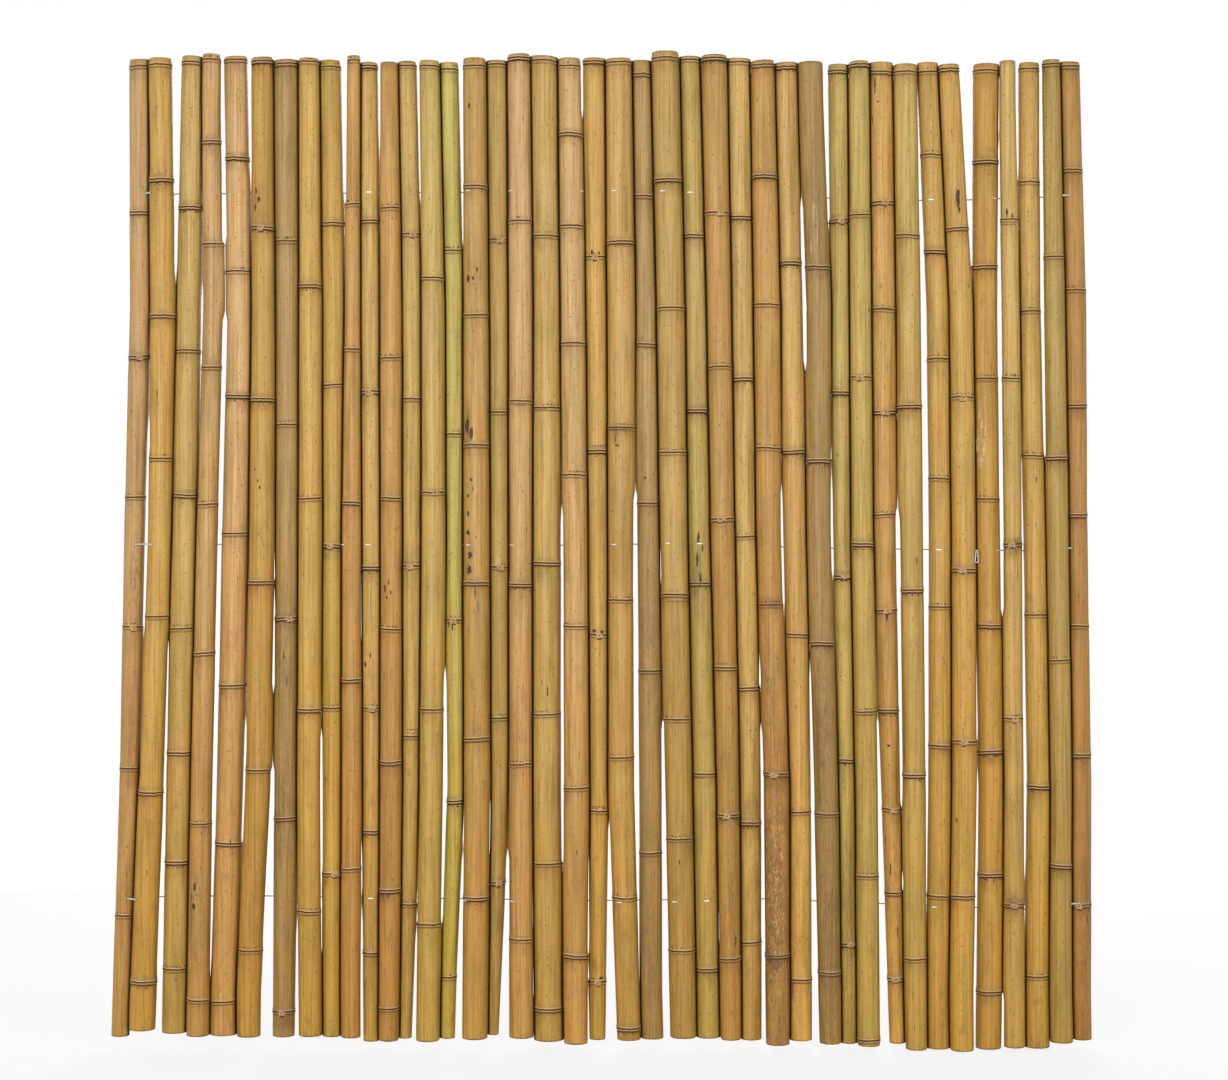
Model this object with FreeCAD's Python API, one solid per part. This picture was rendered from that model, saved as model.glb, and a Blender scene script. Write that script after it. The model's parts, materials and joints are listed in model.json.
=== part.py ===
# Bamboo fence panel: natural culms side by side, threaded on three galvanised wires.
# Millimetres. X runs along the panel, Y from its front to its back, Z up from the lowest foot.
import FreeCAD
import Part
import math
import os

from FreeCAD import Vector

# How the culms lie against each other
SNUG_GAP = 0.5
STAGGER = 12.0

# The form of one culm
JOINT_SWELL = 0.7
JOINT_STEP = 4.0
CULM_WALL = 5.0
DIAPHRAGM = 3.0
HOLLOW_DEPTH = 60.0
BEND_LIMIT = 0.2
SECTION_SPACING = 1.0

# The three wires and the loop that hangs from the middle one
WIRE_DIAMETER = 2.0
WIRE_HOLE_CLEARANCE = 0.4
WIRE_HOLE_BAND = 14.0
SEAT_CLEARANCE = 0.2
TWIST_STRANDS = 2
LOOP_CULM = 36
LOOP_DROP = 24.0
LOOP_RADIUS = 2.8
LOOP_NECK_CLEARANCE = 0.4

# Flat wire staples
STAPLE_CROWN = 9.0
STAPLE_LEG = 6.0
STAPLE_WIDTH = 1.8
STAPLE_THICKNESS = 1.2
STAPLE_CLEARANCE = 0.1

# Heights at which each culm's width, and its opening from the culm on its left, are given
SURVEY_HEIGHTS = (1726.0, 1360.0, 948.0, 481.0, 106.0)

# One row for each culm, from left to right: its widths over the rings, how far it stands open from
# the culm on its left (the first one: from a plumb line), its head and foot, and its joints
CULMS = (
    ((39, 40, 38, 38, 35), (31, 31.5, 21.5, 12.5, 0), 1810, 24,
     (1797, 1530, 1266, 1010, 772, 514, 245)),
    ((44, 47, 41, 46, 49), (0, 0.5, 10, 0.5, 0.5), 1810, 38,
     (1797, 1588, 1340, 1080, 792, 472, 126)),
    ((42, 47, 49, 48, 48), (13.5, 0, 0, 3.5, 9), 1815, 31,
     (1803, 1539, 1277, 1014, 769, 542, 344, 148)),
    ((35, 37, 39, 40, 42), (0, 5.5, 0, 0, 0), 1817, 27,
     (1806, 1658, 1471, 1246, 996, 725, 414, 93)),
    ((44, 47, 52, 48, 51), (6, 7, 6.5, 7, 0), 1815, 27,
     (1808, 1629, 1422, 1195, 944, 666, 377, 88)),
    ((40, 42, 48, 46, 45), (8, 0, 0, 7, 0), 1812, 26,
     (1804, 1501, 1188, 855, 512, 183)),
    ((49, 47, 45, 45, 42), (0, 0, 0, 6, 20.5), 1808, 24,
     (1800, 1477, 1142, 789, 423, 70)),
    ((38, 41, 43, 42, 43), (0, 0, 0, 0, 7.5), 1810, 27,
     (1803, 1396, 1007, 622, 254)),
    ((41, 45, 39, 38, 37), (0, 0, 0, 4, 0), 1808, 24,
     (1795, 1510, 1215, 921, 624, 322)),
    ((25, 28, 35, 37, 37), (11.5, 0, 0, 0, 0), 1815, 24,
     (1806, 1543, 1279, 999, 677, 331)),
    ((34, 39, 39, 36, 32), (0, 0, 0, 0, 4), 1804, 15,
     (1797, 1515, 1202, 882, 624, 399, 176)),
    ((34, 40, 38, 40, 38), (5.5, 0, 0, 0, 0), 1803, 18,
     (1537, 1263, 1008, 769, 527, 293, 77)),
    ((36, 39, 39, 35, 27), (0, 0, 0, 0, 0), 1806, 20,
     (1797, 1490, 1188, 884, 573, 264)),
    ((38, 42, 44, 43, 44), (5.5, 0, 0, 0, 7), 1806, 18,
     (1795, 1409, 1019, 622, 231)),
    ((36, 37, 35, 33, 30), (0, 0, 0, 8, 0), 1804, 20,
     (1790, 1460, 1124, 785, 454, 132)),
    ((43, 46, 48, 48, 48), (8, 0, 0, 0, 12.5), 1810, 22,
     (1795, 1576, 1341, 1104, 853, 569, 280)),
    ((41, 39, 38, 37, 24), (0, 0, 0, 0, 0), 1808, 26,
     (1800, 1480, 1166, 882, 606, 306)),
    ((42, 44, 42, 42, 45), (0, 0, 0, 0, 16.5), 1817, 24,
     (1809, 1512, 1184, 851, 522, 203)),
    ((53, 53, 54, 54, 56), (0, 0, 0, 0, 0), 1815, 17,
     (1806, 1486, 1173, 889, 613, 340, 75)),
    ((42, 45, 44, 47, 45), (0, 0, 5, 5.5, 0), 1810, 13,
     (1795, 1671, 1504, 1290, 1049, 774, 479, 174)),
    ((43, 42, 41, 37, 32), (4, 0, 0, 0, 3.5), 1812, 18,
     (1805, 1448, 1094, 758, 436, 124)),
    ((48, 52, 45, 48, 45), (0, 0, 0, 0, 17.5), 1810, 20,
     (1802, 1475, 1136, 822, 536, 280, 42)),
    ((39, 41, 43, 42, 43), (0, 0, 8.5, 9.5, 0), 1808, 20,
     (1781, 1559, 1288, 999, 692, 359)),
    ((51, 51, 50, 50, 49), (0, 0, 0, 6.5, 12.5), 1821, 24,
     (1808, 1588, 1354, 1091, 831, 604, 386, 183)),
    ((42, 43, 45, 47, 46), (0, 0, 0, 0, 0), 1815, 22,
     (1808, 1488, 1168, 851, 505, 148)),
    ((47, 44, 43, 41, 39), (0, 0, 0, 0, 0), 1815, 20,
     (1808, 1528, 1246, 970, 699, 430, 168)),
    ((45, 44, 43, 42, 40), (0, 0, 0, 0, 0), 1812, 18,
     (1804, 1521, 1226, 937, 661, 414, 196)),
    ((44, 48, 44, 47, 45), (0, 0, 0, 4.5, 6.5), 1806, 11,
     (1797, 1594, 1360, 1098, 813, 505, 174)),
    ((45, 43, 45, 42, 43), (0, 0, 5.5, 0, 0), 1804, 17,
     (1795, 1438, 1094, 759, 434, 128)),
    ((46, 46, 43, 45, 42), (0, 6.5, 0, 5, 11), 1803, 13,
     (1429, 1076, 743, 432, 143)),
    ((38, 37, 34, 34, 32), (10, 0, 6.5, 0, 0), 1801, 11,
     (1788, 1515, 1201, 866, 529, 194)),
    ((38, 39, 40, 41, 42), (0, 0, 0, 0, 0), 1804, 9,
     (1797, 1524, 1228, 924, 619, 318, 20)),
    ((47, 48, 44, 36, 31), (0, 0, 0, 8, 16.5), 1804, 11,
     (1786, 1548, 1352, 1166, 977, 803, 620, 439, 286, 130)),
    ((43, 45, 42, 43, 41), (0, 0, 7.5, 3.5, 0), 1799, 2,
     (1784, 1486, 1175, 840, 503, 167)),
    ((41, 43, 42, 44, 44), (3.5, 11.5, 13, 6.5, 0), 1804, 2,
     (1786, 1634, 1459, 1261, 1043, 809, 555, 280)),
    ((38, 43, 44, 45, 44), (0, 0, 0, 0, 0), 1799, 0,
     (1790, 1499, 1191, 878, 564, 282)),
    ((48, 47, 47, 47, 48), (23.5, 0, 0, 5.5, 7), 1801, 2,
     (1788, 1623, 1431, 1226, 1005, 776, 545, 320, 106)),
    ((31, 35, 34, 35, 39), (0, 6, 5.5, 0, 2.5), 1806, 6,
     (1515, 1226, 924, 606, 267)),
    ((39, 41, 42, 44, 47), (7.5, 0, 5.5, 9, 0), 1804, 4,
     (1792, 1585, 1349, 1085, 794, 481, 134)),
    ((34, 39, 41, 37, 41), (4.5, 5, 0, 0, 0), 1808, 15,
     (1799, 1448, 1082, 712, 337)),
    ((40, 42, 37, 40, 38), (0, 0.5, 0.5, 0.5, 0.5), 1806, 18,
     (1797, 1607, 1387, 1177, 977, 774, 538, 264)),
)

# Each wire's heights: at the axes of the end culms, and at bends in the seams right of other culms
WIRE_ROUTES = {
    "top": ((1, 1564), (18, 1568), (27, 1565), (31, 1555), (35, 1552), (41, 1561)),
    "middle": ((1, 924), (20, 922), (24, 926), (29, 917), (38, 912), (41, 919)),
    "bottom": ((1, 278), (5, 281), (20, 272), (27, 275), (38, 256), (41, 276)),
}

# Twisted wire ends: how far each reaches left and right of the seam that it lies over
TWISTS = {
    ("top", "left"): (8, 5),
    ("middle", "left"): (20, 15),
    ("bottom", "left"): (12, 8),
    ("top", "right"): (2, 15),
    ("middle", "right"): (4, 6),
    ("bottom", "right"): (3, 14),
}

# Staples: the culm that each is driven into, and its angle round the culm from straight ahead
STAPLES = {
    "top": {11: 0, 16: -33, 18: -53, 20: 65, 22: -27, 24: -24, 25: -17, 35: -17, 37: 38},
    "middle": {10: -65, 11: -15, 16: -35, 18: -43, 22: -32, 24: -27, 25: 0, 35: -14, 37: 51},
    "bottom": {11: 0, 16: -56, 18: -45, 22: -25, 24: -28, 25: 0, 35: -27},
}


def interpolate(heights, values, z):
    """Value at height z of a list given from the top down, straight beyond its ends."""
    k = 0
    while k < len(heights) - 2 and z < heights[k + 1]:
        k += 1
    share = (heights[k] - z) / (heights[k] - heights[k + 1])
    return values[k] + share * (values[k + 1] - values[k])


class Culm:
    """One bamboo pole, laid against the one on its left."""

    def __init__(self, number, row, left):
        self.number = number
        self.widths, self.openings, self.head, self.foot, self.joints = row
        self.left = left
        self.depth = STAGGER / 2 if number % 2 else -STAGGER / 2
        self.places = []
        for z, opening in zip(SURVEY_HEIGHTS, self.openings):
            self.places.append(self.snug_side(z) + opening)

    def ring_radius(self, z):
        return interpolate(SURVEY_HEIGHTS, self.widths, z) / 2

    def snug_side(self, z):
        """Place of the axis along the panel where the culm lies against the one on its left."""
        if self.left is None:
            return self.ring_radius(z)
        reach = self.left.ring_radius(z) + self.ring_radius(z) + SNUG_GAP
        return self.left.side(z) + math.sqrt(reach ** 2 - STAGGER ** 2)

    def side(self, z):
        """Place of the axis along the panel, before the panel is centred."""
        straight = interpolate(SURVEY_HEIGHTS, self.places, z)
        surveyed = SURVEY_HEIGHTS[-1] <= z <= SURVEY_HEIGHTS[0]
        if surveyed or self.left is None:
            return straight
        return max(straight, self.snug_side(z))

    def rings(self):
        """Height and radius of each section of the outer wall, from the foot up."""
        sections = [(self.foot, self.ring_radius(self.foot) - JOINT_SWELL)]
        for joint in reversed(self.joints):
            sections.append((joint, self.ring_radius(joint)))
            above = joint + JOINT_STEP
            sections.append((above, self.ring_radius(above) - JOINT_SWELL))
        sections.append((self.head, self.ring_radius(self.head) - JOINT_SWELL))
        return self.with_bends(sections)

    def skin_radius(self, z):
        """Radius of the outer wall between its sections."""
        sections = self.rings()[::-1]
        heights = [height for height, radius in sections]
        radii = [radius for height, radius in sections]
        return interpolate(heights, radii, z)

    def with_bends(self, sections):
        """Add a section at each height where the axis bends away from a straight run."""
        result = [sections[0]]
        for (low, low_radius), (high, high_radius) in zip(sections, sections[1:]):
            for z in reversed(SURVEY_HEIGHTS):
                if low < z < high:
                    share = (z - low) / (high - low)
                    chord = self.side(low) + share * (self.side(high) - self.side(low))
                    if abs(self.side(z) - chord) > BEND_LIMIT:
                        result.append((z, low_radius + share * (high_radius - low_radius)))
            result.append((high, high_radius))
        return result


def build_row():
    row = []
    for number, values in enumerate(CULMS, start=1):
        row.append(Culm(number, values, row[-1] if row else None))
    return row


ROW = build_row()


def panel_centre():
    """Middle of the panel's box along X and Y, so that the origin can stand there."""
    left = []
    right = []
    front = []
    back = []
    for culm in ROW:
        for z, radius in culm.rings():
            left.append(culm.side(z) - radius)
            right.append(culm.side(z) + radius)
            front.append(culm.depth - radius)
            back.append(culm.depth + radius)
    return (min(left) + max(right)) / 2, (min(front) + max(back)) / 2


CENTRE_X, CENTRE_Y = panel_centre()


def axis_point(culm, z):
    return Vector(culm.side(z) - CENTRE_X, culm.depth - CENTRE_Y, z)


def ruled_tube(stations, normal):
    """Solid through circles, given as centre and radius, with straight walls between them."""
    wires = []
    for centre, radius in stations:
        wires.append(Part.Wire([Part.makeCircle(radius, centre, normal)]))
    return Part.makeLoft(wires, True, True)


def end_bore(culm, mouth, joint):
    """The hollow at a cut end, down to the nearest joint's diaphragm or as deep as can be seen."""
    depth = min(abs(mouth - joint) - DIAPHRAGM / 2, HOLLOW_DEPTH)
    floor = mouth + math.copysign(depth, joint - mouth)
    stations = []
    for z in sorted((mouth, floor)):
        stations.append((axis_point(culm, z), culm.ring_radius(z) - JOINT_SWELL - CULM_WALL))
    return ruled_tube(stations, Vector(0, 0, 1))


def seam(left, z):
    """Place along the panel midway between a culm and the one on its right."""
    right = ROW[left.number]
    right_edge = left.side(z) + left.ring_radius(z)
    left_edge = right.side(z) - right.ring_radius(z)
    return (right_edge + left_edge) / 2 - CENTRE_X


def route_points(route):
    """A wire runs in the panel's own middle plane, half way between the staggered culms."""
    points = []
    for number, z in route:
        culm = ROW[number - 1]
        at_end = culm in (ROW[0], ROW[-1])
        x = axis_point(culm, z).x if at_end else seam(culm, z)
        points.append(Vector(x, -CENTRE_Y, z))
    return points


def wire_at(route, x):
    """Point of a wire at a place along the panel, straight on beyond its two ends."""
    points = route_points(route)
    k = 0
    while k < len(points) - 2 and x > points[k + 1].x:
        k += 1
    share = (x - points[k].x) / (points[k + 1].x - points[k].x)
    return points[k] + (points[k + 1] - points[k]) * share


def wire_height(route, culm):
    """Height at which a wire passes the axis of a culm."""
    return wire_at(route, axis_point(culm, route[0][1]).x).z


def wire(route):
    """One wire, whose ends stop inside the two end culms."""
    stations = [(point, WIRE_DIAMETER / 2) for point in route_points(route)]
    return ruled_tube(stations, Vector(1, 0, 0))


def wire_hole(culm, route):
    """Straight drilled hole along the wire, blind in the two end culms."""
    points = route_points(route)
    axis = axis_point(culm, wire_height(route, culm))
    reach = culm.ring_radius(axis.z)
    start = wire_at(route, max(axis.x - reach, points[0].x - WIRE_HOLE_CLEARANCE))
    stop = wire_at(route, min(axis.x + reach, points[-1].x + WIRE_HOLE_CLEARANCE))
    radius = WIRE_DIAMETER / 2 + WIRE_HOLE_CLEARANCE
    return Part.makeCylinder(radius, (stop - start).Length, start, stop - start)


def front_of(culm, x, z, radius):
    """Point where a bar of this radius rests on a culm's front, at a place along the panel."""
    axis = axis_point(culm, z)
    reach = culm.skin_radius(z) + radius + SEAT_CLEARANCE
    return Vector(x, axis.y - math.sqrt(reach ** 2 - (x - axis.x) ** 2), z)


def end_twist(route, side, reach):
    """The end of a wire, twisted on itself over the seam beside the end culm."""
    left = ROW[0] if side == "left" else ROW[-2]
    right = ROW[left.number]
    z = wire_height(route, left)
    radius = TWIST_STRANDS * WIRE_DIAMETER / 2
    start = front_of(left, seam(left, z) - reach[0], z, radius)
    stop = front_of(right, seam(left, z) + reach[1], z, radius)
    return Part.makeCylinder(radius, (stop - start).Length, start, stop - start)


def hanging_loop(route):
    """A drop-shaped loop of wire that hangs in the seam between two culms."""
    left = ROW[LOOP_CULM - 1]
    right = ROW[LOOP_CULM]
    top = wire_height(route, left)
    middle = seam(left, top)
    low = top - LOOP_DROP + LOOP_RADIUS + WIRE_DIAMETER / 2
    on_left = front_of(left, middle - LOOP_RADIUS, low, WIRE_DIAMETER / 2)
    on_right = front_of(right, middle + LOOP_RADIUS, low, WIRE_DIAMETER / 2)
    centre = Vector(middle, min(on_left.y, on_right.y), low)
    neck = (WIRE_DIAMETER + LOOP_NECK_CLEARANCE) / 2
    rise = top - centre.z
    distance = math.hypot(neck, rise)
    turn = math.atan2(rise, neck) - math.acos(LOOP_RADIUS / distance)
    across = LOOP_RADIUS * math.cos(turn)
    up = LOOP_RADIUS * math.sin(turn)
    right_top = centre + Vector(neck, 0, rise)
    right_low = centre + Vector(across, 0, up)
    left_low = centre + Vector(-across, 0, up)
    left_top = centre + Vector(-neck, 0, rise)
    bottom = centre - Vector(0, 0, LOOP_RADIUS)
    path = Part.Wire([
        Part.LineSegment(right_top, right_low).toShape(),
        Part.Arc(right_low, bottom, left_low).toShape(),
        Part.LineSegment(left_low, left_top).toShape(),
    ])
    section = Part.Wire([Part.makeCircle(WIRE_DIAMETER / 2, right_top, right_low - right_top)])
    return path.makePipeShell([section], True, False)


def staple_outline(grow):
    """Outline of a staple in plan, its crown on the culm's front and its legs pointing inwards."""
    half = STAPLE_CROWN / 2 + grow
    inner = STAPLE_CROWN / 2 - STAPLE_THICKNESS - grow
    crown_back = -grow
    crown_front = -STAPLE_THICKNESS
    tip = STAPLE_LEG + grow
    points = ((-half, crown_front), (half, crown_front), (half, tip), (inner, tip),
              (inner, crown_back), (-inner, crown_back), (-inner, tip), (-half, tip))
    return [Vector(x, y, 0) for x, y in points]


def staple(culm, route, angle, grow=0.0):
    """Staple on a culm's front, or with grow the pocket that its legs need."""
    z = wire_height(route, culm)
    points = staple_outline(grow)
    height = STAPLE_WIDTH + 2 * grow
    face = Part.Face(Part.makePolygon(points + points[:1]))
    solid = face.extrude(Vector(0, 0, height))
    solid.translate(Vector(0, -culm.skin_radius(z) - SEAT_CLEARANCE, z - height / 2))
    solid.rotate(Vector(0, 0, 0), Vector(0, 0, 1), angle)
    axis = axis_point(culm, z)
    solid.translate(Vector(axis.x, axis.y, 0))
    return solid


def wall_sections(culm):
    """Sections of the outer wall, with a short band of its own for each drilled hole."""
    sections = culm.rings()
    for route in WIRE_ROUTES.values():
        for side in (-0.5, 0.5):
            z = wire_height(route, culm) + side * WIRE_HOLE_BAND
            if min(abs(z - height) for height, radius in sections) > SECTION_SPACING:
                sections.append((z, culm.skin_radius(z)))
    return sorted(sections)


def culm_solid(culm):
    """Round tapered pole with swollen joints, hollow ends, wire holes and staple pockets."""
    stations = [(axis_point(culm, z), radius) for z, radius in wall_sections(culm)]
    pole = ruled_tube(stations, Vector(0, 0, 1))
    cuts = [end_bore(culm, culm.head, culm.joints[0]), end_bore(culm, culm.foot, culm.joints[-1])]
    for name, route in WIRE_ROUTES.items():
        cuts.append(wire_hole(culm, route))
        if culm.number in STAPLES[name]:
            cuts.append(staple(culm, route, STAPLES[name][culm.number], STAPLE_CLEARANCE))
    return pole.cut(cuts)


def staples():
    solids = []
    for name, route in WIRE_ROUTES.items():
        for number, angle in STAPLES[name].items():
            solids.append(staple(ROW[number - 1], route, angle))
    return Part.makeCompound(solids)


def export(name, shape):
    if not shape.isValid():
        raise ValueError(name + " is not a valid solid")
    shape.exportStep(os.path.join("parts", name + ".step"))


def main():
    os.makedirs("parts", exist_ok=True)
    for culm in ROW:
        export("culm_{:02d}".format(culm.number), culm_solid(culm))
    for name, route in WIRE_ROUTES.items():
        export("wire_" + name, wire(route))
    for (name, side), reach in TWISTS.items():
        export("end_twist_{}_{}".format(name, side), end_twist(WIRE_ROUTES[name], side, reach))
    export("hanging_loop", hanging_loop(WIRE_ROUTES["middle"]))
    export("staples", staples())


main()
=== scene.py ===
# %% [markdown]
# # A bamboo fence panel
# The real panel is a row of 41 natural poles, called culms, threaded on three galvanised wires.
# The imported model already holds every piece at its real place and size. This lesson dresses it:
# the culms get their joints, skin and marks, and the wire parts get their zinc.

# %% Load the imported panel
import json
import math
import random

import bpy
import numpy as np
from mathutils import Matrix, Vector


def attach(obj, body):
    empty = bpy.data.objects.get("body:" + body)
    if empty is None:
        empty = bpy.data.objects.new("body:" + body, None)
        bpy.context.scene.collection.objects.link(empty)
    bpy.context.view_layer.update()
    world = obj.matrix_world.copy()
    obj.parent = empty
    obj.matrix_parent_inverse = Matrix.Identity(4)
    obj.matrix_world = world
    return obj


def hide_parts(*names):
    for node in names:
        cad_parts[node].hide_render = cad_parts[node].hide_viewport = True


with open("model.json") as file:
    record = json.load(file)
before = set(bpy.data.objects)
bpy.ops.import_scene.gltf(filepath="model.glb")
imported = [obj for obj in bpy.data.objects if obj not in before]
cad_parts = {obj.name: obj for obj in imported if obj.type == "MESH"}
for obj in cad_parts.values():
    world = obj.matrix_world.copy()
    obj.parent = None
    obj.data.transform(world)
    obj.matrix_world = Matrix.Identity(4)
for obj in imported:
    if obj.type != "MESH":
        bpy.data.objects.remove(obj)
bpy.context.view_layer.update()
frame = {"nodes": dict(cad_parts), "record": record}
print("packed pieces:", len(frame["nodes"]))

# %% [markdown]
# ## The camera
# The photograph looks straight at the panel's front, from about half its height. The panel is only
# as deep as one pole, so the distance hardly matters: a long lens 4.5 m away keeps the culms
# upright. One pixel of the photograph is 1.83 mm of the panel, and that fixes the width of view.

# %% Camera
PIXEL = 0.00183
PHOTO_WIDTH = 1228
PHOTO_MIDDLE = (614, 540)
PHOTO_FLOOR = 1049
PHOTO_CENTRE = 601.5
DISTANCE = 4.5
SENSOR_WIDTH = 36


def photo_x(column):
    """Place along the panel of a column of the photograph."""
    return (column - PHOTO_CENTRE) * PIXEL


def photo_z(row):
    """Height of a row of the photograph."""
    return (PHOTO_FLOOR - row) * PIXEL


camera_data = bpy.data.cameras.new("camera")
camera_data.sensor_width = SENSOR_WIDTH
camera_data.lens = SENSOR_WIDTH * DISTANCE / (PHOTO_WIDTH * PIXEL)
camera = bpy.data.objects.new("camera", camera_data)
camera.location = (photo_x(PHOTO_MIDDLE[0]), -DISTANCE, photo_z(PHOTO_MIDDLE[1]))
camera.rotation_euler = (math.radians(90), 0, 0)
bpy.context.scene.collection.objects.link(camera)
bpy.context.scene.camera = camera
print("lens", round(camera_data.lens, 1), "mm")

# %% [markdown]
# ## Reading the culms
# Every culm is tapered, bent and jointed in its own way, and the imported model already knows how.
# Its mesh has a circle of points at every change of section, so the circles are read back from
# each node: height, centre and radius. A circle much smaller than its neighbours is the floor of
# a hollow end, and a radius that falls at once above a circle marks a joint.

# %% Sections of each culm
HOLLOW_STEP = 0.003
JOINT_SLOPE = -0.1
FEWEST_POINTS = 30
ROUND_LIMIT = 0.001


def level_circles(node):
    """Heights, centres and radii of the level circles in a node's mesh, from the foot up."""
    mesh = node.data
    points = np.empty(len(mesh.vertices) * 3)
    mesh.vertices.foreach_get("co", points)
    points = points.reshape(-1, 3)
    levels = np.round(points[:, 2], 4)
    circles = []
    for level in np.unique(levels):
        ring = points[levels == level]
        low = ring.min(axis=0)
        high = ring.max(axis=0)
        width = high[0] - low[0]
        if len(ring) >= FEWEST_POINTS and abs(width - (high[1] - low[1])) < ROUND_LIMIT:
            circles.append((level, (low[0] + high[0]) / 2, (low[1] + high[1]) / 2, width / 2))
    return circles


class Culm:
    """One pole: its outer sections, its joints and the depth of its hollow ends."""

    def __init__(self, name):
        self.name = name
        self.number = int(name[-2:])
        circles = level_circles(frame["nodes"][name])
        wall = circles[:1]
        floors = []
        for circle in circles[1:]:
            if circle[3] < wall[-1][3] - HOLLOW_STEP:
                floors.append(circle[0])
            else:
                wall.append(circle)
        self.heights, self.xs, self.ys, self.radii = np.array(wall).T
        self.foot = self.heights[0]
        self.head = self.heights[-1]
        self.foot_floor = floors[0]
        self.head_floor = floors[-1]
        slopes = np.diff(self.radii) / np.diff(self.heights)
        falls = slopes < JOINT_SLOPE
        first = falls & ~np.concatenate(([False], falls[:-1]))
        self.joints = self.heights[:-1][first]

    def axis(self, z):
        return np.interp(z, self.heights, self.xs), np.interp(z, self.heights, self.ys)

    def radius(self, z):
        return np.interp(z, self.heights, self.radii)


culms = [Culm(name) for name in sorted(frame["nodes"]) if name.startswith("culm_")]
slot_of = {row["node"]: row["material_slot"] for row in frame["record"]["subparts"]}
print("culms:", len(culms), "joints:", sum(len(culm.joints) for culm in culms))
print("first culm:", culms[0].joints.round(3), culms[0].foot_floor, culms[0].head_floor)

# %% [markdown]
# ## Shader maths as Python
# A material is a web of nodes, and a long formula would be tiring to wire by hand. One small class
# wraps a node's output, so that `1 - mask` or `a * b` adds the Math nodes by itself.

# %% Sockets with operators
class Socket:
    """An output of a material's nodes, which Python's operators can work on."""

    def __init__(self, tree, output):
        self.tree = tree
        self.output = output

    def node(self, kind, settings, inputs, output=0):
        """Any node: its type, its settings, and the values or links of its sockets."""
        made = self.tree.nodes.new("ShaderNode" + kind)
        for name, value in settings.items():
            setattr(made, name, value)
        for key, value in inputs.items():
            if isinstance(value, Socket):
                self.tree.links.new(value.output, made.inputs[key])
            else:
                made.inputs[key].default_value = value
        return Socket(self.tree, made.outputs[output])

    def math(self, operation, first, second):
        return self.node("Math", {"operation": operation}, {0: first, 1: second})

    def __add__(self, other):
        return self.math("ADD", self, other)

    __radd__ = __add__

    def __sub__(self, other):
        return self.math("SUBTRACT", self, other)

    def __rsub__(self, other):
        return self.math("SUBTRACT", other, self)

    def __mul__(self, other):
        return self.math("MULTIPLY", self, other)

    __rmul__ = __mul__

    def __abs__(self):
        return self.math("ABSOLUTE", self, 0)

    def largest(self, other):
        return self.math("MAXIMUM", self, other)

    def step(self, low, high):
        """A soft step from 0 at low to 1 at high, or the other way where low is above high."""
        return self.node("MapRange", {"interpolation_type": "SMOOTHSTEP"},
                         {"Value": self, "From Min": low, "From Max": high})

    def blend(self, first, second, kind="MIX"):
        """Two colours, mixed by this value."""
        settings = {"data_type": "RGBA", "blend_type": kind}
        return self.node("Mix", settings, {0: self, 6: first, 7: second}, output=2)

    def stretched(self, scale, offset):
        """This vector times a scale of its own for each direction, plus an offset."""
        return self.node("VectorMath", {"operation": "MULTIPLY_ADD"}, {0: self, 1: scale, 2: offset})

    def noise(self, detail=2.0):
        """Cloudy values around one half, at these coordinates."""
        return self.node("TexNoise", {}, {"Vector": self, "Scale": 1.0, "Detail": detail})


def colour(red, green, blue):
    """A screen colour, 0 to 255 a channel, as the linear colour that a shader works with."""
    linear = []
    for channel in (red, green, blue):
        share = channel / 255
        linear.append(share / 12.92 if share <= 0.04045 else ((share + 0.055) / 1.055) ** 2.4)
    return (*linear, 1.0)


def new_material(name):
    """An empty material, its main shader, and a first socket to build from."""
    material = bpy.data.materials.new(name)
    material.use_nodes = True
    tree = material.node_tree
    shader = tree.nodes["Principled BSDF"]
    start = Socket(tree, shader.outputs[0])
    return material, shader, start


def attribute(start, name):
    """A value stored on a piece's own points."""
    return start.node("Attribute", {"attribute_name": name}, {}, output=2)


print("shader helpers ready")

# %% [markdown]
# ## Bamboo skin
# No two culms are alike, but they fall into nine tones. Every one is paler at its head and richer
# at its foot. Fine fibres run along it, blotches and flecks break the colour up, and painted shade
# darkens the seams where culms touch. The same graph makes all nine skins, from two colours each.
# What belongs to one place of one culm, such as its joints, comes from values stored on the points.

# %% Grain of the skin
POINT_VALUES = ("pole", "tone", "shade", "rise", "near", "wear", "groove", "grime", "stain", "cut")
GRAIN = {
    "blotches": ((28, 28, 7), 3),
    "streaks": ((190, 190, 4), 3),
    "fibres": ((420, 420, 9), 4),
    "specks": ((520, 520, 300), 1),
    "nicks": ((380, 380, 90), 2),
    "smudges": ((60, 60, 26), 5),
    "wobble": ((110, 110, 40), 2),
    "roots": ((330, 330, 260), 1),
    "pores": ((1400, 1400, 300), 1),
    "cracks": ((150, 150, 75), 4),
}


def grain_of(place, pole):
    """Every noise of the skin by name, moved to another place for each pole."""
    shift = place.node("CombineXYZ", {}, {0: pole * 37, 1: pole * 11, 2: pole * 53})
    return {name: place.stretched(scale, shift).noise(detail) for name, (scale, detail) in GRAIN.items()}


print("grain patterns:", len(GRAIN))

# %% [markdown]
# Along an internode the colour drifts and fibres show as long streaks. Each layer multiplies the
# colour below it, as thin glazes of stain would, so the tone of the culm always shows through.

# %% Tone and weathering
FLECK = colour(92, 62, 34)
TONE_HEIGHTS = (1.75, 0.05)
SOIL_HEIGHTS = (1.3, 0.1)
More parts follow.
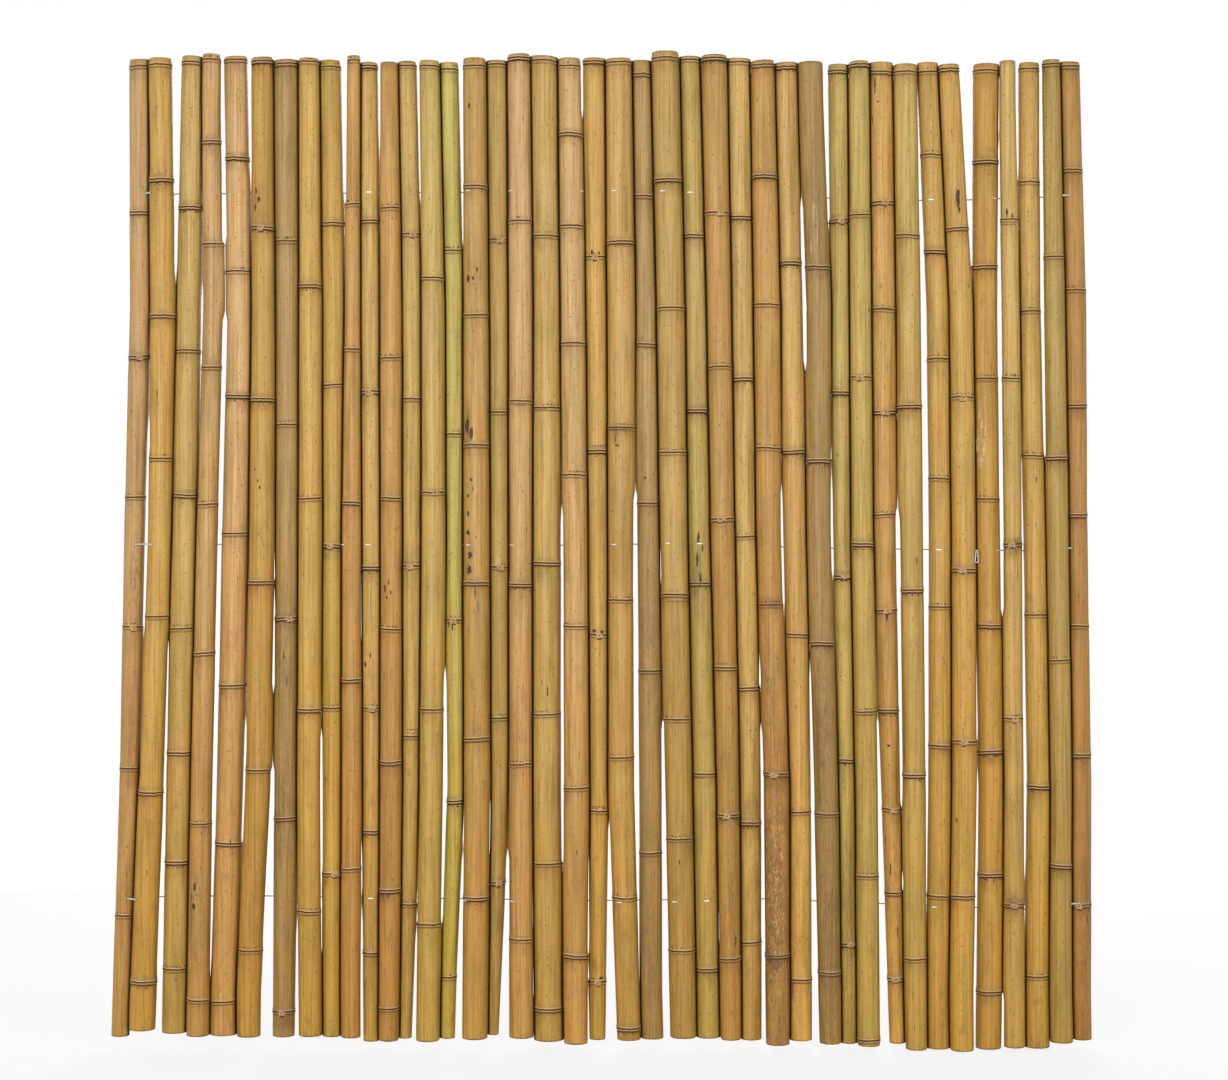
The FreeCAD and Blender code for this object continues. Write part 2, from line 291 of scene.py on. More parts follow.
# Glazes over the tone: what drives each, where it begins and is full, its strength and its tint
GLAZES = (
    ("tone", 0.5, 1.0, 1.0, (0.96, 0.9, 0.82, 1)),
    ("tone", 0.5, 0.0, 1.0, (0.98, 1.04, 0.95, 1)),
    ("shade", 0.5, 1.0, 1.0, (1.1, 1.1, 1.12, 1)),
    ("shade", 1.0, 1.5, 1.0, (1.2, 1.24, 1.36, 1)),
    ("shade", 0.5, 0.0, 1.0, (0.88, 0.86, 0.8, 1)),
    ("blotches", 0.5, 0.68, 0.8, (0.82, 0.84, 0.72, 1)),
    ("blotches", 0.48, 0.32, 0.7, (1.08, 0.97, 0.82, 1)),
    ("streaks", 0.48, 0.66, 0.6, (0.78, 0.69, 0.5, 1)),
    ("streaks", 0.5, 0.34, 0.5, (1.14, 1.14, 1.08, 1)),
    ("fibres", 0.45, 0.66, 0.6, (0.74, 0.64, 0.48, 1)),
    ("fibres", 0.46, 0.32, 0.5, (1.12, 1.12, 1.06, 1)),
    # Painted shade on the flat that a branch leaves: an olive-grey darkening
    ("groove", 0.0, 1.0, 0.7, (0.8, 0.78, 0.64, 1)),
)


def weathered_and_shaded_skin(height, values, grain, head, foot):
    """Colour of an internode, with painted shade on its flats, before joints, stains and the painted shade
    of seams and flanks.
    """
    skin = height.step(*TONE_HEIGHTS).blend(head, foot)
    drivers = {**values, **grain}
    for name, begins, full, strength, tint in GLAZES:
        skin = (drivers[name].step(begins, full) * strength).blend(skin, tint, "MULTIPLY")
    crowd = grain["wobble"].step(0.46, 0.62)
    skin = (grain["specks"].step(0.64, 0.7) * crowd * 0.85).blend(skin, FLECK)
    skin = (grain["nicks"].step(0.68, 0.74) * 0.8).blend(skin, FLECK)
    soil = 0.15 + height.step(*SOIL_HEIGHTS) * 0.25
    return (grain["smudges"].step(0.58, 0.78) * soil).blend(skin, FLECK)


print("weathering ready")

# %% [markdown]
# A joint is a dark line under a ridge whose pale line is a painted highlight, with a fainter line
# below. Sheaths and roots once grew there, so on a worn joint the lower line is as dark, and the skin
# is grey above, brown below and dotted with root scars. All of it is laid out by the height above
# the joint in millimetres, shaken a little so that no line is ruled.

# %% Joints
JOINT_LINE = colour(66, 43, 25)
JOINT_EDGE = colour(76, 45, 25)
RIDGE_PALE_AND_HIGHLIGHT = colour(214, 174, 116)
ROOT_ZONE = colour(142, 112, 76)
JOINT_SHAKE = 3.0
UPPER_LEVEL = 0.2
LOWER_LEVEL = -5.0


def joint_lines(values, grain):
    """The upper and the lower dark line of a joint, and its height scale."""
    level = values["rise"] + (grain["wobble"] - 0.5) * JOINT_SHAKE
    upper_line = abs(level - UPPER_LEVEL).step(2.1, 0.9) * values["near"]
    worn = 0.45 + values["wear"].step(0.3, 0.9) * 0.55
    lower_line = abs(level - LOWER_LEVEL).step(2.6, 1.0) * values["near"] * worn
    return upper_line, lower_line, level


def jointed_skin(skin, values, grain):
    """Adds the joints to a skin's colour."""
    rise, near, wear = (values[name] for name in ("rise", "near", "wear"))
    upper_line, lower_line, level = joint_lines(values, grain)
    under = rise.step(-40, -5) * rise.step(-2, -5) * near * grain["smudges"].step(0.25, 0.65)
    over = rise.step(16, 4) * rise.step(1, 4) * near * grain["smudges"].step(0.3, 0.6)
    skin = (under * (0.3 + wear * 0.6)).blend(skin, (0.66, 0.56, 0.42, 1), "MULTIPLY")
    skin = (over * wear * 0.75).blend(skin, ROOT_ZONE)
    # Painted highlight: the pale line on the ridge above the joint line; on worn joints a pale band also
    # lies below it
    ridge_highlight = level.step(-0.5, 0.5) * level.step(4.4, 3.0) * 0.6
    ridge_under = level.step(-4.6, -3.4) * level.step(0.5, -0.5) * (0.15 + wear.step(0.3, 0.9) * 0.5)
    skin = ((ridge_highlight + ridge_under) * near).blend(skin, RIDGE_PALE_AND_HIGHLIGHT)
    scars_under = level.step(-12, -10) * level.step(-6, -7.5)
    scars_over = level.step(9, 7) * level.step(3, 4.5)
    scars = scars_under * wear.step(0.55, 0.85) + scars_over * wear.step(0.45, 0.15)
    skin = (scars * near * grain["roots"].step(0.52, 0.6) * 0.9).blend(skin, JOINT_LINE)
    skin = lower_line.blend(skin, JOINT_LINE)
    return upper_line.blend(skin, JOINT_EDGE), lower_line.largest(upper_line)


print("joints ready")

# %% [markdown]
# Painted shade darkens the seams almost to black where two culms all but touch, and the flanks
# are painted a little browner and darker than the front as painted shade. Strong stains are old
# bark with fine pale cracks, and the saw leaves pale end grain full of brown pores.

# %% Painted shade, stains and cuts
SEAM_SHADE_COLOUR = colour(36, 28, 20)
BARK_CRACK = colour(214, 170, 108)
CUT_PALE = colour(205, 176, 128)
CUT_BROWN = colour(128, 92, 56)
LEFT_FLANK_SHADE = colour(142, 88, 40)
RIGHT_FLANK_SHADE = colour(118, 88, 38)


def shaded_and_stained_skin(skin, sideways, values, grain):
    """Adds painted shade on the flanks and in the seams, stains and the sawn ends to a skin's colour."""
    # Painted shade: the left and right flanks are painted browner and darker than the front
    skin = (sideways.step(-0.75, -1.0) * 0.5).blend(skin, LEFT_FLANK_SHADE)
    skin = (sideways.step(0.65, 1.0) * 0.5).blend(skin, RIGHT_FLANK_SHADE)
    mottle = grain["nicks"].step(0.4, 0.56) * 0.5 + grain["smudges"].step(0.3, 0.6) * 0.5
    skin = (values["stain"] * mottle).blend(skin, FLECK)
    bark = values["stain"].step(0.45, 0.65) * abs(grain["cracks"] - 0.5).step(0.022, 0.004)
    skin = (bark * grain["wobble"].step(0.4, 0.55) * 0.85).blend(skin, BARK_CRACK)
    # Painted shade in the seams: near black where a neighbour all but touches
    skin = (values["grime"] * 0.95).blend(skin, SEAM_SHADE_COLOUR)
    end_grain = grain["pores"].step(0.45, 0.7).blend(CUT_PALE, CUT_BROWN)
    return values["cut"].blend(skin, end_grain)


print("painted_shade_and_stains ready")

# %% One material for each tone
def skin_material(slot, head, foot):
    """One tone of bamboo skin, from its colour at the head to its colour at the foot."""
    material, shader, start = new_material(slot)
    place = start.node("TexCoord", {}, {}, output=3)
    height = start.node("SeparateXYZ", {}, {0: place}, output=2)
    sideways = start.node("SeparateXYZ", {}, {0: start.node("NewGeometry", {}, {}, output=1)})
    values = {name: attribute(start, name) for name in POINT_VALUES}
    grain = grain_of(place, values["pole"])
    skin = weathered_and_shaded_skin(height, values, grain, head, foot)
    skin, lines = jointed_skin(skin, values, grain)
    skin = shaded_and_stained_skin(skin, sideways, values, grain)
    relief = grain["fibres"] * 0.45 + grain["streaks"] * 0.35 - lines * 1.2
    relief = relief - grain["nicks"].step(0.64, 0.74) * 0.7
    bump = start.node("Bump", {}, {"Strength": 0.4, "Distance": 0.0009, "Height": relief})
    gloss = 0.38 + grain["streaks"] * 0.14 + lines * 0.25 + values["grime"] * 0.5 + values["cut"] * 0.3
    shader.inputs["Specular IOR Level"].default_value = 0.38
    start.tree.links.new(skin.output, shader.inputs["Base Color"])
    start.tree.links.new(gloss.output, shader.inputs["Roughness"])
    start.tree.links.new(bump.output, shader.inputs["Normal"])
    return material


SKINS = {
    "bamboo_pink": (colour(207, 169, 117), colour(189, 142, 71)),
    "bamboo_gold": (colour(204, 166, 91), colour(193, 150, 60)),
    "bamboo_straw": (colour(199, 168, 100), colour(186, 148, 68)),
    "bamboo_grey": (colour(176, 147, 91), colour(166, 132, 68)),
    "bamboo_orange": (colour(199, 155, 88), colour(182, 133, 58)),
    "bamboo_tan": (colour(199, 161, 96), colour(189, 145, 65)),
    "bamboo_olive": (colour(189, 162, 94), colour(179, 146, 67)),
    "bamboo_green": (colour(195, 177, 100), colour(185, 158, 62)),
    "bamboo_amber": (colour(197, 153, 74), colour(188, 144, 57)),
}
skins = {slot: skin_material(slot, head, foot) for slot, (head, foot) in SKINS.items()}
print("skins:", len(skins))

# %% [markdown]
# ## The culms
# A culm is a surface of revolution round an axis that bends a little, so each one is a stack of
# rings: a few along an internode and many at a joint, where the wall dips, swells and dips again.
# The stack goes on over the cut rim and down the bore to the diaphragm that closes it. Lofting
# rings in code keeps the exact sections that were read, which sculpting or a modifier would not.

# %% Rings of a culm
SIDES = 40
RING_SPACING = 0.02
BORE_WALL = 0.005
BORE_BEVEL = 0.0006
BORE_SHARES = (0.98, 0.5, 0.05)
RIM_BEVEL = 0.0008
END_MARGIN = 0.004
JOINT_REACH = 0.021
# What each kind of chance adds to a culm's number, so that no two kinds draw alike
SEEDS = {"tone": 0, "pole": 100, "wear": 200, "groove": 300, "tilt": 400, "shade": 500}
JOINT_RELIEF = (
    (-0.0200, -0.0003), (-0.0120, -0.0004), (-0.0080, -0.0004), (-0.0060, -0.0005), (-0.0052, -0.0008),
    (-0.0046, -0.0009), (-0.0040, -0.0003), (-0.0034, 0.0004), (-0.0024, 0.0008), (-0.0014, 0.0007),
    (-0.0006, 0.0003), (0.0002, -0.0002), (0.0008, 0.0), (0.0014, 0.0007), (0.0024, 0.0011),
    (0.0036, 0.0009), (0.0050, 0.0005), (0.0080, 0.0002), (0.0140, 0.0),
)


def joint_wear(culm):
    """How worn and rooty each joint of a culm is, from 0 to 1."""
    chance = random.Random(SEEDS["wear"] + culm.number)
    return np.array([chance.random() for joint in culm.joints])


def relief_shares(culm):
    """How far each joint of a culm stands out: worn ones fully, smooth ones about half."""
    return 0.5 + 0.5 * joint_wear(culm)


def wall_profile(culm):
    """Height and radius of every ring of a culm's outer wall, from the foot up."""
    plain = list(np.arange(culm.foot + END_MARGIN, culm.head - END_MARGIN, RING_SPACING))
    plain += [culm.foot + RIM_BEVEL, culm.head - RIM_BEVEL]
    profile = []
    for z in plain:
        if np.abs(culm.joints - z).min() > JOINT_REACH:
            profile.append((z, culm.radius(z)))
    for joint, share in zip(culm.joints, relief_shares(culm)):
        for offset, relief in JOINT_RELIEF:
            z = joint + offset
            if culm.foot + RIM_BEVEL < z < culm.head - RIM_BEVEL:
                profile.append((z, culm.radius(z) + relief * share))
    for end in (culm.foot, culm.head):
        profile.append((end, culm.radius(end) - RIM_BEVEL))
    return sorted(profile)


def bore_profile(culm, mouth, floor):
    """Rings of a hollow end, from its rim down to the middle of its floor."""
    radius = culm.radius(mouth) - BORE_WALL
    inward = math.copysign(1, floor - mouth)
    rings = [(mouth, radius + BORE_BEVEL), (mouth + inward * BORE_BEVEL, radius)]
    return rings + [(floor, radius * share) for share in BORE_SHARES]


print("rings on the first culm's wall:", len(wall_profile(culms[0])))

# %% [markdown]
# ## What each point knows
# The skin's graph asks each point how far it is from the nearest joint, how close the neighbour
# stands, which internode it is on and whether the saw has cut it. Values on points survive every
# change of view and light, where a painted picture would need its own map for each culm.

# %% Joints and internodes
NEAR_LIMIT = 0.04
LISTED_SHIFT = 0.33
INTERNODE_SPREAD = 0.17
PALE_FEET = (29, 33)
PALE_FOOT_GAIN = 0.7
PALE_FOOT_HEIGHTS = (0.75, 0.25)


def smooth_step(value, low, high):
    share = np.clip((value - low) / (high - low), 0, 1)
    return share * share * (3 - 2 * share)


def joint_values(culm, z):
    """Signed distance from the nearest joint in millimetres, and 1 where a joint is near."""
    gaps = z[:, None] - culm.joints[None, :]
    rise = gaps[np.arange(len(z)), np.abs(gaps).argmin(axis=1)]
    near = smooth_step(np.abs(rise), NEAR_LIMIT, NEAR_LIMIT * 0.8)
    return np.clip(rise, -NEAR_LIMIT, NEAR_LIMIT) * 1000, near


def internode_values(culm, z, below, above, seed):
    """A value around one half for each internode, lower or higher on the culms that are listed."""
    chance = random.Random(seed + culm.number)
    middle = 0.5 + LISTED_SHIFT * ((culm.number in above) - (culm.number in below))
    values = []
    for internode in range(len(culm.joints) + 1):
        values.append(middle + chance.uniform(-INTERNODE_SPREAD, INTERNODE_SPREAD))
    return np.array(values)[np.searchsorted(culm.joints, z)]


def wear_values(culm, z):
    """How worn and rooty the nearest joint is, from 0 to 1."""
    return joint_wear(culm)[np.abs(z[:, None] - culm.joints[None, :]).argmin(axis=1)]


def foot_values(culm, z):
    """What the listed culms gain in paleness towards their feet."""
    return PALE_FOOT_GAIN * smooth_step(z, *PALE_FOOT_HEIGHTS) * (culm.number in PALE_FEET)


print("wear of the first culm's joints:", joint_wear(culms[0]).round(2))

# %% [markdown]
# Painted shade darkens the seams where two culms all but touch, and the weather leaves soft brown
# stains on the fronts. Each stain is an oval spot that fades out. Its place is read from the photograph.

# %% Seam shade and stains
SEAM_SHADE_FULL = 0.0026
SEAM_SHADE_END = 0.0048
RIM_STAIN = (0.003, 0.0005)
HEAD_RIM = 0.5
FRONT_LIMIT = 0.01
# Column and row in the photograph, half width, half height and strength of each stain
STAINS = (
    (137, 572, 4, 36, 0.8), (134, 925, 7, 16, 0.5), (468, 425, 4, 20, 0.8), (470, 560, 5, 22, 0.7),
    (285, 650, 11, 60, 0.45), (283, 800, 11, 90, 0.4), (284, 1018, 9, 12, 0.7), (375, 930, 7, 50, 0.4),
    (773, 900, 20, 170, 0.8), (768, 690, 11, 80, 0.45), (822, 720, 11, 100, 0.5),
    (650, 640, 11, 130, 0.4), (826, 930, 12, 110, 0.45), (815, 235, 9, 80, 0.4), (955, 200, 5, 16, 0.7),
    (1012, 546, 9, 9, 0.8), (1013, 903, 9, 8, 0.9), (893, 850, 8, 70, 0.45), (886, 640, 5, 40, 0.4),
    (697, 570, 6, 40, 0.6), (199, 900, 7, 50, 0.5), (1085, 940, 9, 90, 0.45), (621, 432, 10, 7, 0.6),
    (770, 603, 12, 7, 0.8), (848, 930, 7, 80, 0.45), (732, 900, 9, 90, 0.4), (502, 870, 8, 90, 0.35),
    (650, 950, 10, 80, 0.45), (300, 120, 8, 90, 0.25), (140, 560, 9, 200, 0.25), (405, 566, 7, 11, 0.6),
    (545, 140, 9, 70, 0.2), (258, 205, 5, 16, 0.4), (440, 740, 7, 16, 0.3), (498, 240, 7, 7, 0.4),
    (1042, 70, 8, 7, 0.5), (476, 277, 7, 14, 0.5), (478, 600, 3, 26, 0.5), (486, 668, 4, 28, 0.4),
    (477, 727, 6, 10, 0.4), (471, 108, 4, 14, 0.45), (133, 730, 5, 40, 0.4), (374, 700, 4, 30, 0.3),
    (260, 900, 9, 50, 0.3), (941, 327, 2, 7, 0.5), (981, 304, 2, 4, 0.4), (981, 329, 2, 5, 0.45),
    (880, 287, 3, 4, 0.4),
)


def seam_shade_values(culm, points):
    """Painted shade in the seams: full where a neighbour all but touches, none in an open gap."""
    grime = np.zeros(len(points))
    for other in culms:
        if abs(other.number - culm.number) == 1:
            x, y = other.axis(points[:, 2])
            gap = np.hypot(points[:, 0] - x, points[:, 1] - y) - other.radius(points[:, 2])
            grime = np.maximum(grime, smooth_step(gap, SEAM_SHADE_END, SEAM_SHADE_FULL))
    return grime


def stain_values(points):
    """How strongly a stain lies on each point of a culm's front."""
    stain = np.zeros(len(points))
    for column, row, half_width, half_height, strength in STAINS:
        across = (points[:, 0] - photo_x(column)) / (half_width * PIXEL)
        along = (points[:, 2] - photo_z(row)) / (half_height * PIXEL)
        spot = strength * np.exp(-across ** 2 - along ** 2)
        stain = np.maximum(stain, spot * (points[:, 1] < FRONT_LIMIT))
    return stain


def rim_values(culm, z):
    """The brown edge that the saw leaves at the foot and, more worn, at the head."""
    foot = smooth_step(z - culm.foot, *RIM_STAIN)
    head = smooth_step(culm.head - z, *RIM_STAIN)
    return np.maximum(foot, head * HEAD_RIM)


print("stains:", len(STAINS))

# %% [markdown]
# ## Flats, tilts and seams
# A culm is never quite round. A branch leaves a flat above its joint, and joints are seldom quite
# level. Where two culms touch, their flanks swell a little to meet. The rings are moved in code,
# because a displacement would need a map of its own for every culm.

# %% Flats and tilts
GROOVE_DEPTHS = (0.0004, 0.0013)
TILT_LIMIT = 0.0014


def groove_depths(culm, z):
    """Depth and direction, at each height, of the flat that a branch leaves above its joint."""
    chance = random.Random(SEEDS["groove"] + culm.number)
    deepest = chance.uniform(*GROOVE_DEPTHS)
    turn = chance.uniform(0, 2 * math.pi)
    marks = np.concatenate(([culm.foot - 0.1], culm.joints, [culm.head + 0.1]))
    internode = np.searchsorted(culm.joints, z)
    share = (z - marks[internode]) / (marks[internode + 1] - marks[internode])
    depth = deepest * smooth_step(share, 0.02, 0.08) * smooth_step(share, 0.9, 0.4)
    return depth, turn + math.pi * internode


def joint_tilts(culm, z):
    """How far, and towards which side, each ring leans: joints are seldom quite level."""
    chance = random.Random(SEEDS["tilt"] + culm.number)
    tilts = np.array([chance.uniform(-TILT_LIMIT, TILT_LIMIT) for joint in culm.joints])
    turns = np.array([chance.uniform(0, 2 * math.pi) for joint in culm.joints])
    nearest = np.abs(z[:, None] - culm.joints[None, :]).argmin(axis=1)
    weight = smooth_step(np.abs(z - culm.joints[nearest]), 0.02, 0.008) * smooth_step(z - culm.foot, 0, 0.02)
    return tilts[nearest] * weight, turns[nearest]


print("deepest flat on the first culm:", groove_depths(culms[0], culms[0].heights)[0].max().round(5))

# %% Seams
SEAM_SHUT = 0.0023
SEAM_OPEN = 0.0031
SEAM_LIMIT = 0.0066
SEAM_OVERLAP = 0.0004
SEAM_FADE = 0.01
# Seams that differ from the rule of seam_reach: the culm on their left, and their top and bottom rows
# in the photograph
SHUT_SEAMS = (
    (2, 278, 318), (2, 560, 640), (3, 225, 272), (4, 246, 314), (5, 690, 722), (6, 690, 765),
    (8, 615, 730), (9, 205, 240), (11, 198, 232), (14, 585, 672), (17, 815, 850), (19, 430, 510),
    (20, 118, 175), (22, 365, 488), (23, 610, 718), (27, 692, 724), (28, 425, 488), (29, 155, 196),
    (29, 370, 470), (29, 598, 640), (30, 580, 625), (32, 645, 718), (33, 340, 508), (33, 808, 872),
    (37, 618, 990),
)
OPEN_SEAMS = (
    (1, 802, 905), (3, 345, 470), (7, 140, 182), (8, 895, 950), (10, 578, 638), (10, 850, 890),
    (13, 140, 196), (15, 195, 242), (15, 810, 845), (16, 806, 852), (18, 885, 925), (18, 968, 995),
    (20, 858, 945), (22, 915, 980), (23, 550, 578), (25, 912, 942), (34, 92, 130), (34, 850, 945),
    (36, 598, 735), (37, 80, 132), (38, 460, 520), (38, 905, 998),
)


def row_mask(seams, number, z):
    """1 at the heights where a listed seam beside this culm, on its right, is named."""
    mask = np.zeros(len(z))
    for left_number, top_row, bottom_row in seams:
        if left_number == number:
            low, high = photo_z(bottom_row), photo_z(top_row)
            inside = smooth_step(z, low - SEAM_FADE, low) * smooth_step(z, high + SEAM_FADE, high)
            mask = np.maximum(mask, inside)
    return mask


def seam_reach(culm, z, side):
    """How far a flank swells to meet its neighbour: narrow seams are shut, wide gaps stay open.

    The culms lie a little before and behind each other, so a gap is measured along the slanting
    line of sight from the camera's place.
    """
    index = culm.number - 1 + side
    if not 0 <= index < len(culms):
        return np.zeros(len(z))
    other = culms[index]
    x, y = culm.axis(z)
    other_x, other_y = other.axis(z)
    slant = side * (other_y - y) * (x - photo_x(PHOTO_MIDDLE[0])) / DISTANCE
    gap = np.abs(other_x - x) - culm.radius(z) - other.radius(z) - slant
    left_number = min(culm.number, other.number)
    shut = np.maximum(smooth_step(gap, SEAM_OPEN, SEAM_SHUT), row_mask(SHUT_SEAMS, left_number, z))
    shut *= 1 - row_mask(OPEN_SEAMS, left_number, z)
    shut *= (z < other.head) & (z > other.foot)
    return (np.clip(gap, -SEAM_OVERLAP, SEAM_LIMIT) + SEAM_OVERLAP) * shut / 2


print("seams that differ:", len(SHUT_SEAMS), "shut and", len(OPEN_SEAMS), "open")

# %% Rings to faces
GROOVE_FULL = 0.0008
FLANK_POWER = 6


def ring_points(culm, profile, outside):
    """Points of a stack of rings round a culm's axis, and how deep each one lies in a flat, which sets the
    flat's painted shade.
    """
    angles = np.arange(SIDES) * 2 * math.pi / SIDES
    z, radius = np.array(profile).T
    x, y = culm.axis(z)
    depth, direction = groove_depths(culm, z)
    facing = np.cos(angles[None, :] - direction[:, None])
    flat = (radius - depth)[:, None] / np.maximum(facing, 0.5)
    reach = np.minimum(radius[:, None], flat)
    groove = np.clip((radius[:, None] - reach) / GROOVE_FULL, 0, 1)
    right = np.clip(np.cos(angles), 0, 1) ** FLANK_POWER
    left = np.clip(-np.cos(angles), 0, 1) ** FLANK_POWER
    swell = seam_reach(culm, z, 1)[:, None] * right + seam_reach(culm, z, -1)[:, None] * left
    reach = reach + swell * outside[:, None]
    tilt, turn = joint_tilts(culm, z)
    points = np.empty((len(z), SIDES, 3))
    points[:, :, 0] = x[:, None] + reach * np.cos(angles)
    points[:, :, 1] = y[:, None] + reach * np.sin(angles)
    points[:, :, 2] = z[:, None] + tilt[:, None] * np.cos(angles[None, :] - turn[:, None])
    return points.reshape(-1, 3), groove.ravel()


def ring_faces(count):
    """Four-sided faces between the rings, and a cap on the first and the last ring."""
    faces = []
    for ring in range(count - 1):
        for side in range(SIDES):
            after = (side + 1) % SIDES
            low = ring * SIDES
            faces.append((low + side, low + after, low + SIDES + after, low + SIDES + side))
    faces.append(tuple(range(SIDES))[::-1])
    faces.append(tuple(range((count - 1) * SIDES, count * SIDES)))
    return faces


print("faces between two rings:", SIDES)

# %% Build the culms
# Culms, by number, that are greener, redder, paler or darker than the rest of their tone
GREENER = (9, 11, 14, 15, 20, 25, 31, 32, 33, 34)
REDDER = (2, 6, 17, 26, 41)
PALER = (5, 11, 23, 27, 29, 31, 32, 33, 38)
DARKER = (1, 4, 6, 9, 16, 24, 26, 30, 40, 41)
SHARP_ANGLE = 50


def store(mesh, name, values):
    mesh.attributes.new(name, "FLOAT", "POINT").data.foreach_set("value", values.astype(np.float32))


def dress_culm(culm):
    wall = wall_profile(culm)
    foot_bore = bore_profile(culm, culm.foot, culm.foot_floor)[::-1]
    head_bore = bore_profile(culm, culm.head, culm.head_floor)
    profile = foot_bore + wall + head_bore
    outside = np.zeros(len(profile), bool)
    outside[len(foot_bore):len(foot_bore) + len(wall)] = True
    points, groove = ring_points(culm, profile, outside)
    heights = np.repeat([z for z, radius in profile], SIDES)
    outside = np.repeat(outside, SIDES)
    name = culm.name + "_skin"
    mesh = bpy.data.meshes.new(name)
    mesh.from_pydata(points.tolist(), [], ring_faces(len(profile)))
    mesh.polygons.foreach_set("use_smooth", [True] * len(mesh.polygons))
    mesh.set_sharp_from_angle(angle=math.radians(SHARP_ANGLE))
    rise, near = joint_values(culm, heights)
    store(mesh, "rise", rise)
    store(mesh, "near", near * outside)
    store(mesh, "grime", seam_shade_values(culm, points) * outside)
    store(mesh, "tone", internode_values(culm, heights, GREENER, REDDER, SEEDS["tone"]))
    shade = internode_values(culm, heights, DARKER, PALER, SEEDS["shade"])
    store(mesh, "shade", shade + foot_values(culm, heights))
    store(mesh, "wear", wear_values(culm, heights))
    store(mesh, "groove", groove * outside)
    store(mesh, "stain", np.maximum(stain_values(points), rim_values(culm, heights) * outside))
    store(mesh, "cut", 1.0 - outside)
    store(mesh, "pole", np.full(len(points), random.Random(SEEDS["pole"] + culm.number).random()))
    slot = slot_of[culm.name]
    mesh.materials.append(skins[slot])
    piece = bpy.data.objects.new(name, mesh)
    bpy.context.scene.collection.objects.link(piece)
    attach(piece, "root")
    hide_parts(culm.name)
    return piece


culm_pieces = [dress_culm(culm) for culm in culms]
print("culm faces:", sum(len(piece.data.polygons) for piece in culm_pieces))

# %% [markdown]
# ## Buds and scars
# Some joints carry a bud, and the skin has nicks, knots and rows of root dots. They are too small
# for the culm's own rings, so each is a little patch that lies on the skin: a bud is a mound, a
# scar a thin scab. Their places are read from the photograph, a column and a row for each.

# %% Places of the marks
# Rows in the photograph of the joints that carry a bud, by the number of the culm
BUDS = {
    1: (357, 627), 6: (229,), 7: (620, 1011), 9: (546, 873), 11: (392, 709), 13: (235, 566),
    14: (492,), 15: (620,), 17: (235, 567, 882), 21: (258, 635, 981), 26: (214, 519, 814),
    28: (773,), 31: (221, 576, 943), 32: (378,), 33: (203, 412, 610, 809, 978),
    36: (398, 569, 741), 38: (544, 718, 903), 41: (905,),
}
# First column, last column and row of each row of root dots
ROOT_DOTS = (
    (516, 526, 406), (536, 546, 410), (552, 561, 411), (573, 585, 472), (593, 606, 446), (608, 626, 430),
    (594, 604, 806), (304, 318, 913), (858, 872, 714), (408, 420, 729), (716, 726, 663), (538, 556, 566),
    (1000, 1014, 226), (876, 890, 309), (150, 168, 462), (644, 656, 349), (668, 690, 601),
    (690, 704, 777),
)
# Column and row, half width and half height of each scar and scrape
SCARS = (
    (470, 108, 2, 4), (469, 280, 2, 4), (468, 427, 3, 9), (472, 434, 2, 7), (472, 480, 2.5, 2.5),
    (469, 496, 2, 2.5), (469, 513, 2, 4), (469, 533, 2.5, 3), (471, 555, 3, 4), (470, 570, 2.5, 5),
    (474, 489, 0.8, 4), (258, 193, 1.2, 3.5), (261, 201, 1.6, 3), (257, 209, 1.2, 4.5),
    (257, 470, 1.2, 2.2), (260, 481, 1.2, 2.6), (262, 488, 1.6, 3.2), (615, 440, 0.7, 5),
    (617, 446, 4, 1.5), (612, 511, 4, 0.7), (645, 478, 1.4, 1.4), (956, 199, 2.2, 10), (957, 212, 1.4, 4),
    (967, 287, 1.2, 5), (698, 538, 1.6, 7), (697, 560, 1.2, 9), (700, 580, 1.8, 8), (702, 548, 0.8, 5),
    (888, 745, 3.2, 2), (886, 617, 1.4, 5), (750, 730, 2.2, 0.9), (756, 729, 0.9, 0.9),
    (800, 687, 0.9, 0.9), (866, 599, 0.8, 0.8), (870, 599, 0.8, 0.8), (390, 582, 0.8, 3),
    (386, 588, 0.8, 4), (392, 592, 0.8, 3), (388, 597, 1.2, 1.2), (197, 885, 2.2, 6), (194, 895, 0.8, 4),
    (196, 904, 2.8, 5), (371, 655, 0.8, 3), (366, 664, 1.2, 3), (285, 655, 1, 7), (288, 680, 0.8, 9),
    (885, 840, 0.8, 9), (890, 868, 0.8, 8), (897, 930, 0.9, 10), (1005, 214, 1.2, 4), (1010, 218, 1, 3),
    (955, 818, 1.2, 5), (952, 834, 1, 4), (1086, 918, 0.8, 7), (300, 118, 0.8, 5), (150, 870, 0.7, 5),
    (232, 842, 0.8, 4), (345, 222, 1.4, 2.4), (548, 690, 0.8, 5), (679, 860, 0.8, 4), (735, 940, 0.8, 6),
    (1035, 480, 0.7, 5), (915, 560, 0.7, 5), (510, 655, 1.2, 1.8), (577, 850, 0.8, 4), (160, 395, 0.7, 5),
    (592, 253, 1.4, 2.4), (599, 254, 1.2, 2), (594, 631, 2.4, 2.6), (602, 632, 1.8, 2.6),
    (601, 977, 2, 2), (449, 624, 0.9, 4), (453, 626, 0.9, 4), (458, 622, 2, 1.6), (874, 90, 0.9, 12),
    (877, 103, 1.6, 1.2), (476, 592, 0.8, 8), (479, 606, 0.7, 9), (474, 280, 1.4, 2), (478, 271, 1, 2.4),
    (872, 120, 0.8, 8),
)
